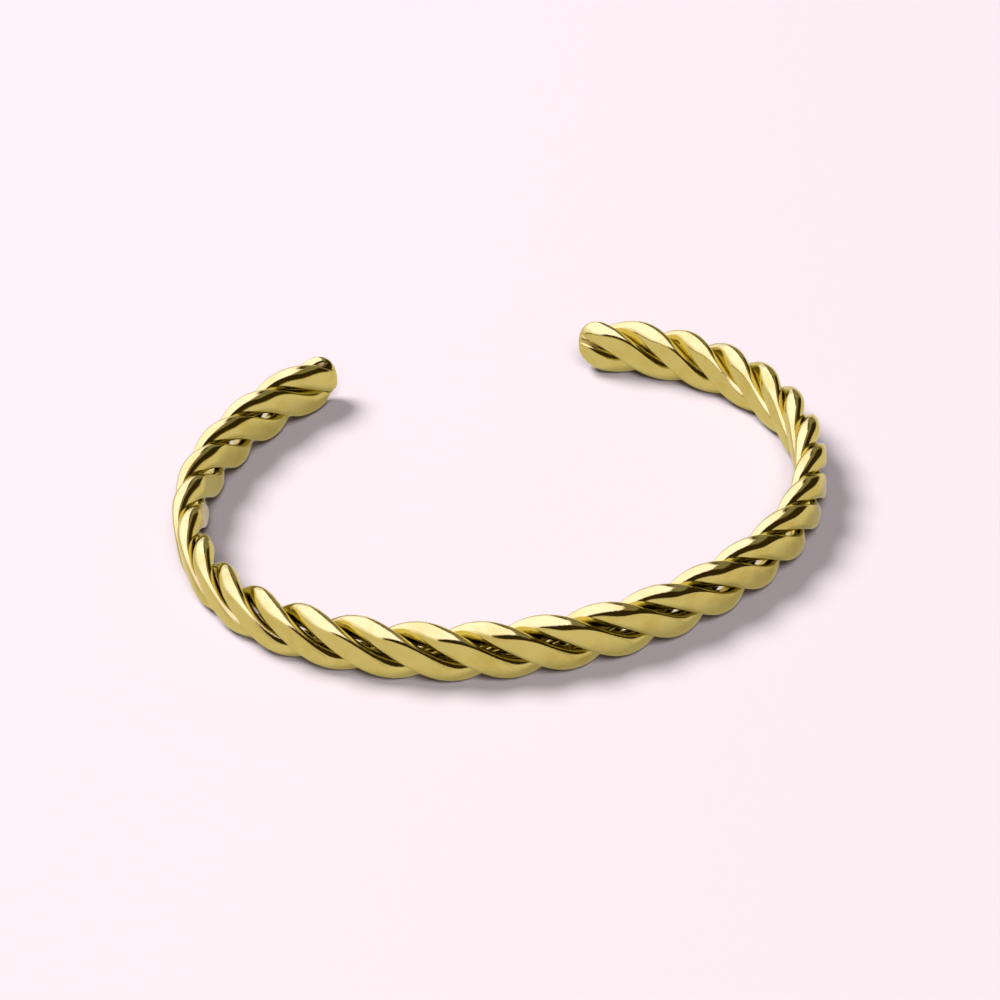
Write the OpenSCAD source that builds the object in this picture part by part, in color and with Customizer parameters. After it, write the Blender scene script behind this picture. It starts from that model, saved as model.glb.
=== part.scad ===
// Cuff bracelet of three round wires twisted into a rope, pressed into a flat
// band, bent to an open oval and soldered into a rounded tip at each end.
// It lies on its side. Millimetres, +Z up. The front of the cuff faces -Y and
// the opening between its tips faces +Y. The lowest points of the band touch
// Z = 0, and the origin is under the middle of the cuff's box.

/* [Band] */
// Height of the band, along Z
band_height = 6.2; // [6.2:0.1:7]
// Thickness of the band, from its inner face to its outer face
band_thickness = 3.1; // [3.1:0.02:3.8]

/* [Strands] */
// Half the thickness of a strand on the faces of the band, before they are pressed
face_half = 0.92; // [0.75:0.01:0.93]
// Half the thickness of a strand as it turns over the edges of the band
edge_half = 1.28; // [1.15:0.01:1.3]
// How many times wider than thick a strand's section is
width_ratio = 1.18; // [1.1:0.01:1.2]
// How many times thicker the rope is before its two faces are pressed flat
press_ratio = 1.34; // [1.33:0.01:1.5]
// How sharply the pressed faces turn at their edges
press_power = 8; // [5:0.5:12]
// Length of band in which a strand goes once round it
twist_pitch = 16.6; // [15:0.1:20]
// Turn of the first strand at the middle of the front, in degrees
twist_phase = 24; // [0:1:359]
// Length of band over which a change of the twist is eased, to each side
twist_ease = 3; // [1:0.5:5]
// Facets round a strand
strand_sides = 12; // [10:1:14]
// Rings along a strand for each turn of the twist
rings_per_turn = 18; // [14:1:20]

/* [Front] */
// Radius of the front, along the middle of the band
front_radius = 36.6; // [35:0.1:40]

/* [Left side] */
// Angle of the front arc left of the middle
left_front_angle = 37.6; // [34:0.1:40]
// Radius of the left shoulder, where the front turns into the arm
left_shoulder_radius = 21.4; // [20:0.1:23]
// Angle that the left shoulder turns through
left_shoulder_angle = 82.9; // [80:0.1:95]
// Radius of the left arm, which runs on to the tip
left_arm_radius = 29.6; // [26:0.1:33]
// Length of the band from the middle of the front to the left tip
left_length = 74.9; // [72:0.1:76]

/* [Right side] */
// Angle of the front arc right of the middle
right_front_angle = 39.3; // [34:0.1:40]
// Radius of the right shoulder
right_shoulder_radius = 20.9; // [20:0.1:23]
// Angle that the right shoulder turns through
right_shoulder_angle = 95; // [80:0.1:95]
// Radius of the right arm
right_arm_radius = 28.2; // [26:0.1:33]
// Length of the band from the middle of the front to the right tip
right_length = 74.1; // [72:0.1:76]

/* [Tips] */
// Length of band over which each end narrows a little
narrow_length = 8; // [5:0.5:12]
// Share of the band's size that is lost by this narrowing
end_narrowing = 0.09; // [0:0.01:0.15]
// Length of the dome that rounds each end
dome_length = 3; // [2:0.1:5]
// Bluntness of the dome: 2 is a plain oval, more is squarer
dome_power = 2.5; // [2:0.1:4]
// Length of the soldered tip
tip_length = 2.2; // [1.5:0.1:3]
// How far solder fills the grooves where the tip begins, as a share of the band
solder_start = 0.66; // [0.5:0.01:0.8]
// How far solder fills the grooves at the very end
solder_end = 0.97; // [0.85:0.01:1]
// Gap between a tip and the strands that run into it
piece_gap = 0.06; // [0.04:0.01:0.1]
// Facets round a tip
tip_sides = 36; // [24:4:48]
// Rings along a tip
tip_rings = 9; // [6:1:12]

/* [Hidden] */

STRANDS = 3;
BRASS = [0.78, 0.66, 0.30];

// The twist isn't quite even. Columns: distance along the band from the middle
// of the front, and the turn there beyond an even twist, in degrees
UNEVEN_TWIST = [
    [-75, -34],
    [-67, -49],
    [-50, -32],
    [-22, 14],
    [-10, 3],
    [2, 3],
    [14, 6],
    [30, 20],
    [46, 84],
    [56, 100],
    [67, 122],
    [75, 100]
];
EASE_STEPS = [-1, -0.5, 0, 0.5, 1];

// One row for each side, and the names of its columns
LEFT = [left_front_angle, left_shoulder_radius, left_shoulder_angle,
        left_arm_radius, left_length];
RIGHT = [right_front_angle, right_shoulder_radius, right_shoulder_angle,
         right_arm_radius, right_length];
FRONT_ANGLE = 0;
SHOULDER_RADIUS = 1;
SHOULDER_ANGLE = 2;
ARM_RADIUS = 3;
LENGTH = 4;

// The path of a strand's middle about the middle of the band, before pressing
path_thick = press_ratio * band_thickness / 2 - face_half;
path_high = band_height / 2 - edge_half;

// Pressing moves a place across the band inward, most of all near the faces.
// Undone, it ends a little beyond the faces, where it would grow without limit
function squeeze(share) =
    share / pow(1 + pow(abs(share), press_power), 1 / press_power);
least_left = 0.001;
function unsqueeze(share) =
    share / pow(max(1 - pow(abs(share), press_power), least_left), 1 / press_power);
fullest = squeeze(press_ratio);
function press(across) =
    squeeze(across / (band_thickness / 2)) / fullest * band_thickness / 2;
function unpress(across) =
    unsqueeze(across / (band_thickness / 2) * fullest) * band_thickness / 2;

function arc_length(radius, angle) = radius * angle * PI / 180;
function arc_angle(radius, length) = length / radius * 180 / PI;

// The point after turning through an angle on an arc that leaves start at a heading
function arc_point(start, heading, radius, angle) =
    start + radius * [sin(heading + angle) - sin(heading),
                      cos(heading) - cos(heading + angle)];

// Where the front arc and the shoulder of a side end, measured along the band
function front_end(side) = arc_length(front_radius, side[FRONT_ANGLE]);
function shoulder_end(side) =
    front_end(side) + arc_length(side[SHOULDER_RADIUS], side[SHOULDER_ANGLE]);

// Heading of the band at a distance from the middle of the front
function side_heading(side, along) =
    along <= front_end(side)
        ? arc_angle(front_radius, along)
    : along <= shoulder_end(side)
        ? side[FRONT_ANGLE]
          + arc_angle(side[SHOULDER_RADIUS], along - front_end(side))
        : side[FRONT_ANGLE] + side[SHOULDER_ANGLE]
          + arc_angle(side[ARM_RADIUS], along - shoulder_end(side));

// Middle of the band at that distance, drawn as a right side that starts at [0, 0]
function side_point(side, along) =
    let (
        turned = side_heading(side, along),
        shoulder_turn = side[FRONT_ANGLE] + side[SHOULDER_ANGLE],
        front_stop = arc_point([0, 0], 0, front_radius, side[FRONT_ANGLE]),
        shoulder_stop = arc_point(front_stop, side[FRONT_ANGLE],
                                  side[SHOULDER_RADIUS], side[SHOULDER_ANGLE])
    )
    along <= front_end(side)
        ? arc_point([0, 0], 0, front_radius, turned)
    : along <= shoulder_end(side)
        ? arc_point(front_stop, side[FRONT_ANGLE], side[SHOULDER_RADIUS],
                    turned - side[FRONT_ANGLE])
        : arc_point(shoulder_stop, shoulder_turn, side[ARM_RADIUS],
                    turned - shoulder_turn);

// The band runs from -left_length at the left tip to right_length at the right
function side_of(s) = s < 0 ? LEFT : RIGHT;
function hand_of(s) = s < 0 ? -1 : 1;
function band_point(s) =
    let (p = side_point(side_of(s), abs(s))) [hand_of(s) * p.x, p.y];
function band_normal(s) =
    let (h = side_heading(side_of(s), abs(s))) [hand_of(s) * sin(h), -cos(h)];
function to_tip(s) = s < 0 ? left_length + s : right_length - s;

// Share of its full size that the band has at a distance from its end
function taper(distance) =
    let (
        nearing = 1 - min(distance / narrow_length, 1),
        closing = 1 - min(distance / dome_length, 1)
    )
    (1 - end_narrowing * pow(nearing, 2))
    * pow(1 - pow(closing, dome_power), 1 / dome_power);

// The middle of the box round the cuff, from points along the band's outer face
function box_centre(points) =
    [for (axis = [0, 1]) let (places = [for (p = points) p[axis]])
        (min(places) + max(places)) / 2];
rim_step = 0.5;
box_middle = box_centre([
    for (s = [-left_length:rim_step:right_length])
        band_point(s) + band_normal(s) * taper(to_tip(s)) * band_thickness / 2
]);

// A point of the band from its place across the thickness and up the height
function place(s, across, up) =
    let (middle = band_point(s) - box_middle, out = band_normal(s) * across)
    [middle.x + out.x, middle.y + out.y, band_height / 2 + up];

function extra_turn(s) =
    let (turns = [for (step = EASE_STEPS) lookup(s + step * twist_ease, UNEVEN_TWIST)])
    turns * [for (step = EASE_STEPS) 1 / len(EASE_STEPS)];
function strand_turn(k, s) =
    360 * s / twist_pitch + twist_phase + extra_turn(s) + 360 / STRANDS * k;

// One corner of a strand's section, at an angle round the strand
function strand_corner(k, s, angle) =
    let (
        turn = strand_turn(k, s),
        out = cos(angle),
        wide = width_ratio * sin(angle),
        across = path_thick * cos(turn)
                 + face_half * (out * cos(turn) - wide * sin(turn)),
        up = -path_high * sin(turn)
             - edge_half * (out * sin(turn) + wide * cos(turn)),
        size = taper(to_tip(s))
    )
    place(s, size * press(across), size * up);

// Triangles of a tube whose rings follow one another in the list of points
function tube_faces(rings, sides) = [
    for (i = [0:rings - 2]) for (j = [0:sides - 1])
        let (
            a = i * sides + j,
            b = i * sides + (j + 1) % sides,
            c = a + sides,
            d = b + sides
        )
        each [[a, c, b], [b, c, d]]
];

// Fans that close the first and the last ring on a point at their middle
function cap_faces(rings, sides) = [
    for (j = [0:sides - 1])
        let (
            next = (j + 1) % sides,
            first_middle = rings * sides,
            last_ring = (rings - 1) * sides
        )
        each [[first_middle, j, next],
              [first_middle + 1, last_ring + next, last_ring + j]]
];

module tube(rings, sides, corners, first_middle, last_middle) {
    points = concat(corners, [first_middle, last_middle]);
    faces = concat(tube_faces(rings, sides), cap_faces(rings, sides));
    polyhedron(points = points, faces = faces);
}

// Size of a place in a strand's section: 1 on its surface and less inside it
function strand_size(k, s, across, up) =
    let (
        turn = strand_turn(k, s),
        thick = (unpress(across) - path_thick * cos(turn)) / face_half,
        high = -(up + path_high * sin(turn)) / edge_half
    )
    norm([thick * cos(turn) + high * sin(turn),
          (high * cos(turn) - thick * sin(turn)) / width_ratio]);
function nearest_size(s, ray) =
    min([for (k = [0:STRANDS - 1]) strand_size(k, s, ray.x, ray.y)]);

// Share of a line from the band's middle to its outline at which the line first
// meets a strand or the solder, coming in from the outline
search_step = 0.02;
function meet_share(s, ray, solder, share = 1) =
    let (size = nearest_size(s, ray * share))
    share <= solder
        ? solder
    : size <= 1
        ? let (before = nearest_size(s, ray * (share + search_step)))
          share + search_step * (1 - size) / (max(before, 1.001) - size)
        : meet_share(s, ray, solder, share - search_step);

// One corner of a tip: the strands' outline with its grooves filled by solder
function tip_corner(s, angle) =
    let (
        ray = [cos(angle) * band_thickness / 2, sin(angle) * band_height / 2],
        closing = 1 - to_tip(s) / tip_length,
        solder = solder_start + (solder_end - solder_start) * closing,
        size = min(meet_share(s, ray, solder), 1) * taper(to_tip(s))
    )
    place(s, size * ray.x, size * ray.y);

module strand(k) {
    start = tip_length + piece_gap - left_length;
    stop = right_length - tip_length - piece_gap;
    steps = round((stop - start) / twist_pitch * rings_per_turn);
    stations = [for (i = [0:steps]) start + (stop - start) * i / steps];
    corners = [
        for (s = stations) for (j = [0:strand_sides - 1])
            strand_corner(k, s, 360 * j / strand_sides)
    ];
    middle = function (s) let (
        turn = strand_turn(k, s),
        size = taper(to_tip(s))
    ) place(s, size * press(path_thick * cos(turn)), -size * path_high * sin(turn));
    color(BRASS) tube(steps + 1, strand_sides, corners, middle(start), middle(stop));
}

// The rings crowd towards the very end, where the dome is steepest
module tip(hand) {
    end = hand < 0 ? left_length : right_length;
    last_ring = 0.02;
    stations = [
        for (i = [0:tip_rings - 1])
            let (left_over = (tip_rings - 1 - i) / (tip_rings - 1))
            hand * (end - last_ring - (tip_length - last_ring) * pow(left_over, 2))
    ];
    corners = [
        for (s = stations) for (j = [0:tip_sides - 1])
            tip_corner(s, -hand * 360 * j / tip_sides)
    ];
    color(BRASS) tube(tip_rings, tip_sides, corners,
                      place(stations[0], 0, 0), place(hand * end, 0, 0));
}

module strand_1() { strand(0); }
module strand_2() { strand(1); }
module strand_3() { strand(2); }
module tip_left() { tip(-1); }
module tip_right() { tip(1); }

strand_1();
strand_2();
strand_3();
tip_left();
tip_right();
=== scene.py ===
from math import cos, pi, radians, sin

import bpy
import numpy as np
from mathutils import Matrix, Vector


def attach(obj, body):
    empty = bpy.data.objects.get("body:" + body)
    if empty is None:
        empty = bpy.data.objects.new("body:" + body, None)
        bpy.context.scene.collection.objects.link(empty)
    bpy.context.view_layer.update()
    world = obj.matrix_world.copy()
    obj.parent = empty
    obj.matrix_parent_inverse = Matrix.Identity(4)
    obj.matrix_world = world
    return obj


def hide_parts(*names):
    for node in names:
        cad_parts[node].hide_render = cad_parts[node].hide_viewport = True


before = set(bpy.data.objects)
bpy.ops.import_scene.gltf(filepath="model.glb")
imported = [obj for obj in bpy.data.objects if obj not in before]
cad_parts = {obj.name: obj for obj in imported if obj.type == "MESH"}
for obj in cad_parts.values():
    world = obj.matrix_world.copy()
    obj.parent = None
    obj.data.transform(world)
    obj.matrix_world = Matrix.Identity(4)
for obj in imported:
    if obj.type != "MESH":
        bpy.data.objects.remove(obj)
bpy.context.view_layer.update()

# Sizes of the cuff in millimetres and degrees, as in the CAD
MM = 0.001
BAND_HEIGHT = 6.2
BAND_THICKNESS = 3.1
FACE_HALF = 0.92
EDGE_HALF = 1.28
WIDTH_RATIO = 1.18
TWIST_PITCH = 16.6
TWIST_PHASE = 24
FRONT_RADIUS = 36.6
LEFT = {"front_angle": 37.6, "shoulder_radius": 21.4, "shoulder_angle": 82.9,
        "arm_radius": 29.6, "length": 74.9}
RIGHT = {"front_angle": 39.3, "shoulder_radius": 20.9, "shoulder_angle": 95,
         "arm_radius": 28.2, "length": 74.1}
NARROW_LENGTH = 8
END_NARROWING = 0.09
DOME_LENGTH = 3
DOME_POWER = 2.5
TIP_LENGTH = 2.2
SOLDER_START = 0.66
SOLDER_END = 0.97
STRANDS = 3
PRESS_RATIO = 1.34
PRESS_POWER = 8

# The wires touch on the right arm and near the left tip: towards the band's middle they
# reach further than a plain oval, and they are a little wider. Elsewhere some light
# passes between them, as in the photograph
CORE_FILL = 1.25
CLOSED_WIDTH = 1.05
RIGHT_ARM_START = 38
LEFT_END_START = 66
FILL_EASE = 5

# The twist isn't quite even: its turn beyond an even one, in degrees, at
# distances along the band from the middle of the front
UNEVEN_TWIST = {"distance": (-75, -67, -50, -22, -10, 2, 14, 30, 46, 56, 67, 75),
                "turn": (-34, -49, -32, 14, 3, 3, 6, 20, 84, 100, 122, 100)}
TWIST_EASE = 3
EASE_STEPS = (-1, -0.5, 0, 0.5, 1)

# The photograph's camera, fitted to the cuff's silhouette
CAMERA_ELEVATION = 37.4
CAMERA_TURN = 8.8
CAMERA_ROLL = -4.0
CAMERA_DISTANCE = 304
PIXELS_PER_MM = 10.156
AIM_PIXEL = (500.1, 487.2)
AIM_BEHIND_FRONT = 24.4
IMAGE_SIZE = 1000
SENSOR = 36
NEAR_CLIP = 0.01

# How finely the pieces are meshed, with lengths in millimetres. The rings crowd towards
# the band's two ends, and a strand's last ring stays just short of them
RING_STEP = 0.13
STRAND_SIDES = 44
TIP_SIDES = 72
END_RINGS = 26
END_INSET = 0.004
OUTLINE_STEP = 0.5

# How open a groove counts for the shade that the material paints in it: less on the band's
# outside, which makes the painted shade wide and dark there, more on its inside, and growing
# towards the end of the solder
OUTSIDE_GROOVES = 0.42
INSIDE_GROOVES = 3.5
SOLDER_GAP = 0.6

# Sets the strands' surface patterns apart, in millimetres along the band
PATTERN_SHIFT = 400


# The band's middle line, from arcs

def arc(start, heading, radius, angle):
    """Points after turning through an angle on an arc that leaves start at a heading."""
    turned = heading + angle
    step = np.stack([np.sin(turned) - np.sin(heading), np.cos(heading) - np.cos(turned)], -1)
    return start + radius * step


def side_path(side, along):
    """Points and headings along one side, drawn as a right side that starts at (0, 0)."""
    front_turn = radians(side["front_angle"])
    shoulder_turn = radians(side["shoulder_angle"])
    front_end = FRONT_RADIUS * front_turn
    shoulder_end = front_end + side["shoulder_radius"] * shoulder_turn
    on_front = np.minimum(along, front_end) / FRONT_RADIUS
    on_shoulder = np.clip(along - front_end, 0, shoulder_end - front_end)
    on_shoulder = on_shoulder / side["shoulder_radius"]
    on_arm = np.maximum(along - shoulder_end, 0) / side["arm_radius"]
    points = arc(np.zeros(2), 0, FRONT_RADIUS, on_front)
    points = arc(points, on_front, side["shoulder_radius"], on_shoulder)
    points = arc(points, on_front + on_shoulder, side["arm_radius"], on_arm)
    return points, on_front + on_shoulder + on_arm


def band_path(s):
    """Middle points and outward normals at distances from the middle of the front."""
    left, left_heading = side_path(LEFT, np.abs(s))
    right, right_heading = side_path(RIGHT, np.abs(s))
    is_left = s < 0
    hand = np.where(is_left, -1, 1)
    point = np.where(is_left[..., None], left, right)
    heading = np.where(is_left, left_heading, right_heading)
    point = np.stack([hand * point[..., 0], point[..., 1]], -1)
    normal = np.stack([hand * np.sin(heading), -np.cos(heading)], -1)
    return point, normal


def to_tip(s):
    """Distance from the nearer end of the band."""
    return np.where(s < 0, LEFT["length"] + s, RIGHT["length"] - s)


def taper(distance):
    """Share of its full size that the band has at a distance from its end."""
    nearing = 1 - np.minimum(distance / NARROW_LENGTH, 1)
    closing = 1 - np.minimum(distance / DOME_LENGTH, 1)
    dome = (1 - closing ** DOME_POWER) ** (1 / DOME_POWER)
    return (1 - END_NARROWING * nearing ** 2) * dome


def box_middle():
    """Middle of the box round the band's outer face."""
    s = np.arange(-LEFT["length"], RIGHT["length"], OUTLINE_STEP)
    point, normal = band_path(s)
    rim = point + normal * taper(to_tip(s))[:, None] * BAND_THICKNESS / 2
    return (rim.min(0) + rim.max(0)) / 2


MIDDLE = box_middle()


def place(s, across, up):
    """Points in metres, from places across the band's thickness and up its height."""
    point, normal = band_path(np.broadcast_to(s, across.shape))
    flat = point - MIDDLE + normal * across[..., None]
    return np.concatenate([flat, (BAND_HEIGHT / 2 + up)[..., None]], -1) * MM


# The strands and the soldered ends

def extra_turn(s):
    """Turn of the twist beyond an even one, eased where it changes."""
    turns = [np.interp(s + step * TWIST_EASE, UNEVEN_TWIST["distance"], UNEVEN_TWIST["turn"])
             for step in EASE_STEPS]
    return np.radians(np.mean(turns, axis=0))


def strand_turn(k, s):
    """Angle of strand k round the band's middle line: 0 outside, a quarter turn below."""
    even = 2 * pi * s / TWIST_PITCH + radians(TWIST_PHASE)
    return even + extra_turn(s) + 2 * pi * k / STRANDS


def press(across):
    """Flattens the twisted rope's two faces, as between a pair of rollers."""
    share = across / (BAND_THICKNESS / 2)
    fullest = PRESS_RATIO / (1 + PRESS_RATIO ** PRESS_POWER) ** (1 / PRESS_POWER)
    pressed = share / (1 + np.abs(share) ** PRESS_POWER) ** (1 / PRESS_POWER)
    return pressed / fullest * BAND_THICKNESS / 2


def path_halves():
    """Half sizes across and up of the oval that a strand's middle runs round."""
    return PRESS_RATIO * BAND_THICKNESS / 2 - FACE_HALF, BAND_HEIGHT / 2 - EDGE_HALF


def closed_share(s):
    """1 where the wires touch, 0 where light passes between them, eased in between."""
    past = np.maximum(s - RIGHT_ARM_START, -LEFT_END_START - s)
    return np.clip(past / FILL_EASE, 0, 1)


def strand_section(k, s, angle):
    """Places across and up the band of a strand's surface, before the ends narrow."""
    turn = strand_turn(k, s)
    thick, high = path_halves()
    closed = closed_share(s)
    out = np.cos(angle)
    out = np.where(out < 0, out * (1 + (CORE_FILL - 1) * closed), out)
    wide = WIDTH_RATIO * (1 + (CLOSED_WIDTH - 1) * closed) * np.sin(angle)
    across = thick * np.cos(turn) + FACE_HALF * (out * np.cos(turn) - wide * np.sin(turn))
    up = -high * np.sin(turn) - EDGE_HALF * (out * np.sin(turn) + wide * np.cos(turn))
    return across, up


def depth_outside(k, s, across, up):
    """How far a place lies outside a strand, in millimetres, roughly."""
    turn = strand_turn(k, s)
    thick, high = path_halves()
    x = (across - thick * np.cos(turn)) / FACE_HALF
    y = -(up + high * np.sin(turn)) / EDGE_HALF
    out = x * np.cos(turn) + y * np.sin(turn)
    wide = (y * np.cos(turn) - x * np.sin(turn)) / WIDTH_RATIO
    return (np.hypot(out, wide) - 1) * FACE_HALF


def ring_stations():
    """Distances along the band at which the strands have a ring."""
    crowd = (np.arange(END_RINGS) / END_RINGS) ** 2 * TIP_LENGTH
    low = -LEFT["length"]
    high = RIGHT["length"]
    count = round((high - low - 2 * TIP_LENGTH) / RING_STEP)
    middle = np.linspace(low + TIP_LENGTH, high - TIP_LENGTH, count)
    at_left = low + END_INSET + crowd
    at_right = high - END_INSET - crowd
    return np.concatenate([at_left, middle, at_right[::-1]])


def add_object(name, data):
    thing = bpy.data.objects.new(name, data)
    bpy.context.scene.collection.objects.link(thing)
    return thing


def tube(name, points):
    """A closed tube from a grid of points, ring by ring."""
    rings, sides, _ = points.shape
    index = np.arange(rings * sides).reshape(rings, sides)
    beside = np.roll(index, -1, axis=1)
    quads = np.stack([index[:-1], index[1:], beside[1:], beside[:-1]], -1).reshape(-1, 4)
    ends = [index[0].tolist(), index[-1][::-1].tolist()]
    mesh = bpy.data.meshes.new(name)
    faces = quads.tolist() + ends
    mesh.from_pydata(points.reshape(-1, 3).tolist(), [], faces)
    mesh.update()
    mesh.polygons.foreach_set("use_smooth", [True] * len(mesh.polygons))
    return add_object(name, mesh)


def add_values(piece, name, values, shape):
    """Keeps one number for each corner point of a mesh, for its material."""
    values = np.broadcast_to(values, shape)
    attribute = piece.data.attributes.new(name, "FLOAT", "POINT")
    attribute.data.foreach_set("value", values.reshape(-1).astype(np.float32))


def make_strand(k):
    """One wire, from one end of the band to the other."""
    s = ring_stations()[:, None]
    angle = np.linspace(0, 2 * pi, STRAND_SIDES, endpoint=False)[None, :]
    across, up = strand_section(k, s, angle)
    nearest = np.min([depth_outside((k + other) % STRANDS, s, across, up)
                      for other in range(1, STRANDS)], axis=0)
    size = taper(to_tip(s))
    piece = tube(f"strand_{k + 1}_wire", place(s, press(across) * size, up * size))
    outer_share = np.clip(across / BAND_THICKNESS + 0.5, 0, 1)
    widening = INSIDE_GROOVES + (OUTSIDE_GROOVES - INSIDE_GROOVES) * outer_share
    # The gap to the nearest other wire sets where the material paints shade into the grooves
    add_values(piece, "groove_gap", nearest * widening, across.shape)
    add_values(piece, "along", s + k * PATTERN_SHIFT, across.shape)
    add_values(piece, "around", angle, across.shape)
    return piece


def make_tip(name, hand):
    """The domed solder that fuses the wires at one end: hand -1 is left, 1 is right."""
    end = LEFT["length"] if hand < 0 else RIGHT["length"]
    left_over = (1 - np.arange(END_RINGS) / END_RINGS) ** 2 * TIP_LENGTH
    s = (hand * (end - left_over))[:, None]
    closing = 1 - left_over[:, None] / TIP_LENGTH
    share = SOLDER_START + (SOLDER_END - SOLDER_START) * closing
    size = share * taper(to_tip(s))
    angle = hand * np.linspace(0, 2 * pi, TIP_SIDES, endpoint=False)[None, :]
    across = size * np.cos(angle) * BAND_THICKNESS / 2
    up = size * np.sin(angle) * BAND_HEIGHT / 2
    piece = tube(name, place(s, across, up))
    # Painted shade: the solder is darkened like a groove where it meets the wires, less
    # towards its end
    add_values(piece, "groove_gap", SOLDER_GAP * closing, across.shape)
    add_values(piece, "along", s, across.shape)
    add_values(piece, "around", angle, across.shape)
    return piece


# Materials

class Nodes:
    """A short way to build a material's node tree."""

    def __init__(self, name):
        self.material = bpy.data.materials.new(name)
        self.material.use_nodes = True
        self.tree = self.material.node_tree
        self.shader = self.tree.nodes["Principled BSDF"]

    def add(self, kind, settings=(), **inputs):
        node = self.tree.nodes.new(kind)
        for key, value in dict(settings).items():
            setattr(node, key, value)
        for key, value in inputs.items():
            self.feed(node.inputs[key.replace("_", " ")], value)
        return node

    def feed(self, socket, value):
        if isinstance(value, bpy.types.NodeSocket):
            self.tree.links.new(value, socket)
        else:
            socket.default_value = value

    def math(self, operation, *values):
        node = self.add("ShaderNodeMath", {"operation": operation})
        for socket, value in zip(node.inputs, values):
            self.feed(socket, value)
        return node.outputs[0]

    def spread(self, value, low, high, to_low=0.0, to_high=1.0):
        """Maps a number from one range to another, smoothly and within the range."""
        node = self.add("ShaderNodeMapRange", {"interpolation_type": "SMOOTHSTEP"})
        for name, number in (("Value", value), ("From Min", low), ("From Max", high),
                             ("To Min", to_low), ("To Max", to_high)):
            self.feed(node.inputs[name], number)
        return node.outputs[0]

    def mix(self, share, first, second):
        """Mixes two colours. A Mix node has its colour sockets at these places."""
        node = self.add("ShaderNodeMix", {"data_type": "RGBA"})
        for number, value in ((0, share), (6, first), (7, second)):
            self.feed(node.inputs[number], value)
        return node.outputs[2]

    def noise(self, pattern, scale, detail):
        node = self.add("ShaderNodeTexNoise", Vector=pattern, Scale=scale, Detail=detail)
        return node.outputs[0]

    def value(self, name):
        """A number that the mesh keeps for each of its corner points."""
        return self.add("ShaderNodeAttribute", {"attribute_name": name}).outputs["Fac"]


# The brass: two tones in soft patches, a painted shade in the grooves, a dark tone which is
# full up to one gap and gone from another, and the tint of what it mirrors at a grazing angle
BRASS = (0.57, 0.51, 0.145, 1)
BRASS_WARM = (0.52, 0.435, 0.1, 1)
GROOVE_SHADE = (0.14, 0.085, 0.02, 1)
GROOVE_DEEP = 0.04
GROOVE_OPEN = 0.5
EDGE_TINT = (0.93, 0.92, 0.68, 1)
PATCH_SCALE = 420.0
PATCH_DETAIL = 5.0
PATCH_EDGES = (0.4, 0.75)

# Its polish, between two roughnesses
SMUDGE_SCALE = 900.0
SMUDGE_DETAIL = 4.0
SMUDGE_EDGES = (0.3, 0.8)
POLISH = (0.05, 0.11)

# Its fine relief: how high ripples, scratches along the wires and the grooves' drawn lines
# are, and how often they repeat along and around a wire
RIPPLES = 1.0
RIPPLE_SCALE = 520.0
RIPPLE_DETAIL = 2.0
SCRATCHES = 0.3
SCRATCH_REPEAT = (0.9, 16.0)
SCRATCH_DETAIL = 5.0
STREAKS = 4.0
STREAK_REPEAT = (0.35, 4.0)
STREAK_DETAIL = 3.0
LINE_SCALE = 3.0
RELIEF_STRENGTH = 0.06
RELIEF_DEPTH = 0.0002


def lines_along(n, repeat, detail):
    """Noise drawn out along the wires."""
    along = n.math("MULTIPLY", n.value("along"), repeat[0])
    around = n.math("MULTIPLY", n.value("around"), repeat[1])
    pattern = n.add("ShaderNodeCombineXYZ", X=along, Y=around).outputs[0]
    return n.noise(pattern, LINE_SCALE, detail)


def brass_material():
    n = Nodes("gold_brass")
    position = n.add("ShaderNodeTexCoord").outputs["Object"]
    # Painted shade: the base colour is darkened in the grooves, fully where the gap between
    # wires is small
    groove = n.spread(n.value("groove_gap"), GROOVE_DEEP, GROOVE_OPEN, 1.0, 0.0)
    patches = n.spread(n.noise(position, PATCH_SCALE, PATCH_DETAIL), *PATCH_EDGES)
    metal = n.mix(patches, BRASS, BRASS_WARM)
    n.feed(n.shader.inputs["Base Color"], n.mix(groove, metal, GROOVE_SHADE))
    n.shader.inputs["Metallic"].default_value = 1.0
    n.shader.inputs["Specular Tint"].default_value = EDGE_TINT
    smudges = n.noise(position, SMUDGE_SCALE, SMUDGE_DETAIL)
    n.feed(n.shader.inputs["Roughness"], n.spread(smudges, *SMUDGE_EDGES, *POLISH))
    scratches = n.math("MULTIPLY", lines_along(n, SCRATCH_REPEAT, SCRATCH_DETAIL), SCRATCHES)
    ripples = n.math("MULTIPLY", n.noise(position, RIPPLE_SCALE, RIPPLE_DETAIL), RIPPLES)
    in_grooves = n.math("MULTIPLY", groove, STREAKS)
    streaks = n.math("MULTIPLY", lines_along(n, STREAK_REPEAT, STREAK_DETAIL), in_grooves)
    height = n.math("ADD", n.math("ADD", scratches, ripples), streaks)
    bump = n.add("ShaderNodeBump", Strength=RELIEF_STRENGTH, Distance=RELIEF_DEPTH,
                 Height=height)
    n.feed(n.shader.inputs["Normal"], bump.outputs[0])
    return n.material


# The pale floor, with faint clouds, and how far it reaches each way in metres
FLOOR_COLOUR = (0.22, 0.193, 0.202, 1)
CLOUD_COLOUR = (0.2178, 0.19107, 0.19998, 1)
CLOUD_SCALE = 3.0
CLOUD_DETAIL = 2.0
FLOOR_ROUGHNESS = 0.9
FLOOR_GLOSS = 0.1
FLOOR_HALF = 3.0

# The shadow is paler in the metal than on the floor, as in the photograph: for mirrored
# rays this share of the floor's own colour is glow instead
SHADOW_LIFT = 0.42
FLOOR_GLOW = (1.0, 0.88, 0.92, 1)
BLACK = (0, 0, 0, 1)


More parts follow.
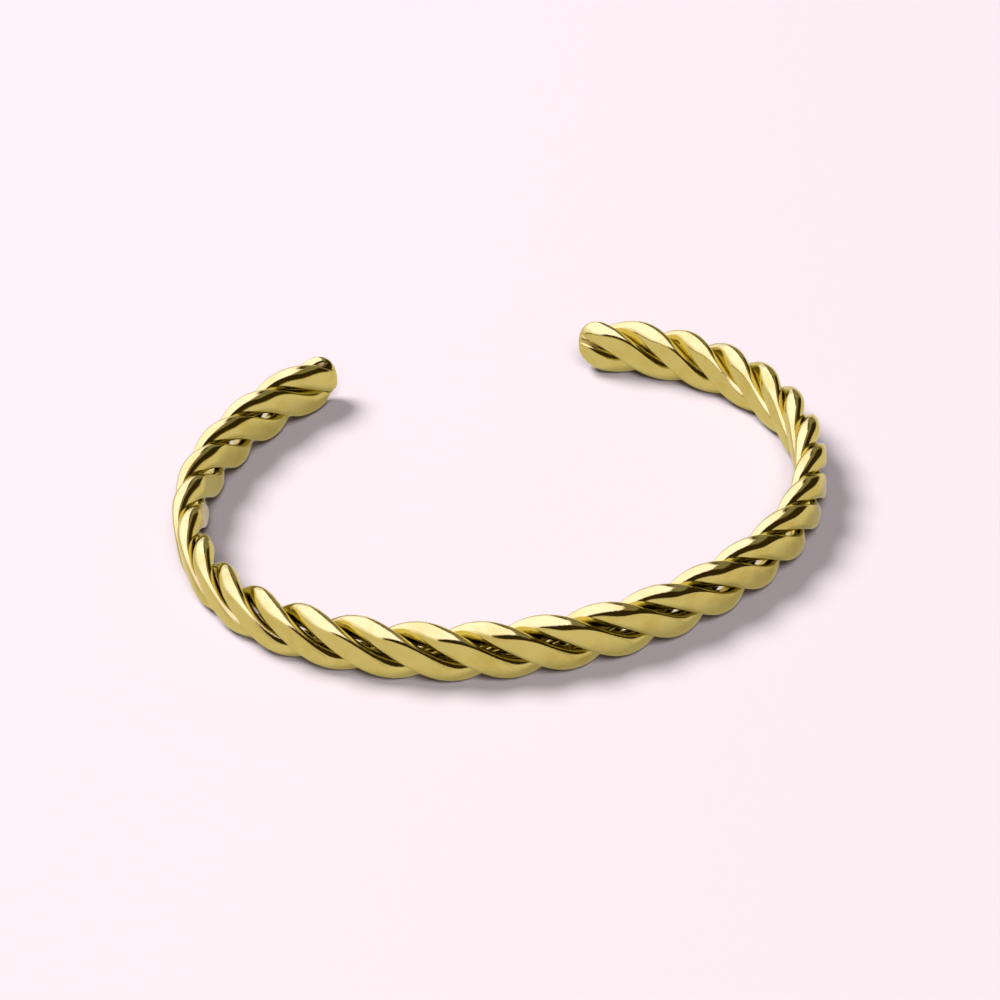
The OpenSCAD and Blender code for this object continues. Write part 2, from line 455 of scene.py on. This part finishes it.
def floor_material():
    n = Nodes("pale_floor")
    position = n.add("ShaderNodeTexCoord").outputs["Object"]
    clouds = n.noise(position, CLOUD_SCALE, CLOUD_DETAIL)
    colour = n.mix(clouds, FLOOR_COLOUR, CLOUD_COLOUR)
    mirrored = n.add("ShaderNodeLightPath").outputs["Is Glossy Ray"]
    lifted = n.math("MULTIPLY", mirrored, SHADOW_LIFT)
    n.feed(n.shader.inputs["Base Color"], n.mix(lifted, colour, BLACK))
    n.shader.inputs["Emission Color"].default_value = FLOOR_GLOW
    n.feed(n.shader.inputs["Emission Strength"], lifted)
    n.shader.inputs["Roughness"].default_value = FLOOR_ROUGHNESS
    n.shader.inputs["Specular IOR Level"].default_value = FLOOR_GLOSS
    return n.material


def make_floor():
    mesh = bpy.data.meshes.new("floor")
    corners = [(x * FLOOR_HALF, y * FLOOR_HALF, 0)
               for x, y in ((-1, -1), (1, -1), (1, 1), (-1, 1))]
    mesh.from_pydata(corners, [], [(0, 1, 2, 3)])
    mesh.materials.append(floor_material())
    add_object("floor", mesh)


# Camera and light

def make_camera():
    """The photograph's view, aimed at a point of the band's mid plane."""
    rise = radians(CAMERA_ELEVATION)
    turn = radians(CAMERA_TURN)
    roll = radians(CAMERA_ROLL)
    back = Vector((-sin(turn) * cos(rise), -cos(turn) * cos(rise), sin(rise)))
    level = Vector((cos(turn), -sin(turn), 0))
    above = back.cross(level)
    right = level * cos(roll) + above * sin(roll)
    up = above * cos(roll) - level * sin(roll)
    aim = Vector((-MIDDLE[0], AIM_BEHIND_FRONT - MIDDLE[1], BAND_HEIGHT / 2)) * MM
    data = bpy.data.cameras.new("photo_camera")
    camera = add_object("photo_camera", data)
    axes = Matrix((right, up, back)).transposed().to_4x4()
    camera.matrix_world = Matrix.Translation(aim + back * CAMERA_DISTANCE * MM) @ axes
    data.sensor_width = SENSOR
    data.lens = PIXELS_PER_MM * CAMERA_DISTANCE / IMAGE_SIZE * SENSOR
    data.shift_x = (IMAGE_SIZE / 2 - AIM_PIXEL[0]) / IMAGE_SIZE
    data.shift_y = (AIM_PIXEL[1] - IMAGE_SIZE / 2) / IMAGE_SIZE
    data.clip_start = NEAR_CLIP
    bpy.context.scene.camera = camera


def room_axes():
    """The room's axes, right, away and up. It is square to the photograph's view."""
    turn = radians(CAMERA_TURN)
    return Matrix(((cos(turn), sin(turn), 0), (-sin(turn), cos(turn), 0), (0, 0, 1)))


# The axes along a panel's width and height, for the way that it faces
PANEL_AXES = {"down": ((1, 0, 0), (0, 1, 0)),
              "right": ((0, -1, 0), (0, 0, 1)),
              "near": ((-1, 0, 0), (0, 0, 1))}


def panel(name, corner, opposite, facing, radiance):
    """A rectangular light between two corners of the room, which only the metal mirrors.

    A light's power is its radiance times its area and pi.
    """
    wide, tall = (Vector(axis) for axis in PANEL_AXES[facing])
    low = Vector(corner)
    high = Vector(opposite)
    data = bpy.data.lights.new(name, "AREA")
    data.shape = "RECTANGLE"
    data.size = abs((high - low).dot(wide))
    data.size_y = abs((high - low).dot(tall))
    brightest = max(radiance)
    data.color = [part / brightest for part in radiance]
    data.energy = brightest * pi * data.size * data.size_y
    light = add_object(name, data)
    turned = room_axes() @ Matrix((wide, tall, wide.cross(tall))).transposed()
    middle = room_axes() @ ((low + high) / 2)
    light.matrix_world = Matrix.Translation(middle) @ turned.to_4x4()
    light.visible_diffuse = False


# Two soft lamps light the floor and cast the shadow: how far and how wide they are, in
# metres, and for each the way to it and its light
LAMP_DISTANCE = 3.0
LAMP_SIZE = 1.5
KEY_FROM = (-0.62, 0.36, 1)
KEY_RADIANCE = 65
FILL_FROM = (0.1, -0.7, 1)
FILL_RADIANCE = 29


def lamp(name, direction, radiance):
    """A round lamp far off in a direction of the room, which the metal doesn't mirror."""
    away = room_axes() @ Vector(direction).normalized()
    data = bpy.data.lights.new(name, "AREA")
    data.shape = "DISK"
    data.size = LAMP_SIZE
    data.energy = radiance * pi * (pi * LAMP_SIZE ** 2 / 4)
    light = add_object(name, data)
    light.rotation_euler = away.to_track_quat("Z", "Y").to_euler()
    light.location = away * LAMP_DISTANCE
    light.visible_glossy = False


# The bright half of the room that the metal mirrors, in metres from the cuff. Its ceiling
# is cut into strips that run from the left wall. On the near side they end on a slanting
# line, which gives a strip's right end from its middle, and past it each has its own end
ROOM_LEFT = -3.0
ROOM_BACK = 2.9
CEILING = 1.0
WALL_FOOT = 0.02
DAYLIGHT = (2.1, 1.9, 3.9)
NEAR_STRIP_EDGES = (-3.6, -2.75, -2.15, -1.7, -1.35, -1.05, -0.8, -0.57)
SLANT = 0.952
SLANT_START = 0.99
FAR_STRIPS = {"far_edge": (0.45, 0.65, 1.0, 1.6, ROOM_BACK),
              "right_end": (0.45, 0.32, 0.24, 0.16, 0.1)}

# Its walls, and the dimmer light on the right: name, a corner, the opposite corner, the
# way it faces and its light
ROOM_PANELS = (
    ("left_wall", (ROOM_LEFT, -4.3, WALL_FOOT), (ROOM_LEFT, ROOM_BACK, CEILING), "right",
     (1.5, 1.4, 2.5)),
    ("back_wall", (ROOM_LEFT, ROOM_BACK, WALL_FOOT), (-0.8, ROOM_BACK, CEILING), "near",
     (1.6, 1.55, 3.4)),
    ("back_corner", (-0.8, ROOM_BACK, WALL_FOOT), (0.1, ROOM_BACK, CEILING), "near",
     (1.2, 1.15, 2.5)),
    ("back_right", (0.1, ROOM_BACK, WALL_FOOT), (2.2, ROOM_BACK, 1.8), "near",
     (0.28, 0.25, 0.26)),
    ("right_ceiling", (0.45, -0.6, CEILING), (1.1, 1.9, CEILING), "down",
     (0.3, 0.28, 0.28)),
)
ROOM_DARK = (0.05, 0.031, 0.013, 1)


def overhead_strips():
    """The ceiling's strips: near edge, far edge and right end."""
    strips = []
    for near, far in zip(NEAR_STRIP_EDGES, NEAR_STRIP_EDGES[1:]):
        middle = (near + far) / 2
        strips.append((near, far, round(SLANT_START + SLANT * middle, 2)))
    near = NEAR_STRIP_EDGES[-1]
    for far, right in zip(FAR_STRIPS["far_edge"], FAR_STRIPS["right_end"]):
        strips.append((near, far, right))
        near = far
    return strips


def make_light():
    world = bpy.data.worlds.new("studio")
    bpy.context.scene.world = world
    world.use_nodes = True
    background = world.node_tree.nodes["Background"]
    background.inputs["Color"].default_value = ROOM_DARK
    background.inputs["Strength"].default_value = 1.0
    for near, far, right in overhead_strips():
        panel("overhead", (ROOM_LEFT, near, CEILING), (right, far, CEILING), "down", DAYLIGHT)
    for name, corner, opposite, facing, radiance in ROOM_PANELS:
        panel(name, corner, opposite, facing, radiance)
    lamp("key", KEY_FROM, KEY_RADIANCE)
    lamp("fill", FILL_FROM, FILL_RADIANCE)
    bpy.context.scene.view_settings.view_transform = "Standard"


# The pieces, the floor, the camera and the light

brass = brass_material()
for k in range(STRANDS):
    strand = make_strand(k)
    strand.data.materials.append(brass)
    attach(strand, "root")
    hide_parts(f"strand_{k + 1}")
for side, hand in (("left", -1), ("right", 1)):
    tip = make_tip(f"solder_{side}", hand)
    tip.data.materials.append(brass)
    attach(tip, "root")
    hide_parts(f"tip_{side}")
make_floor()
make_camera()
make_light()
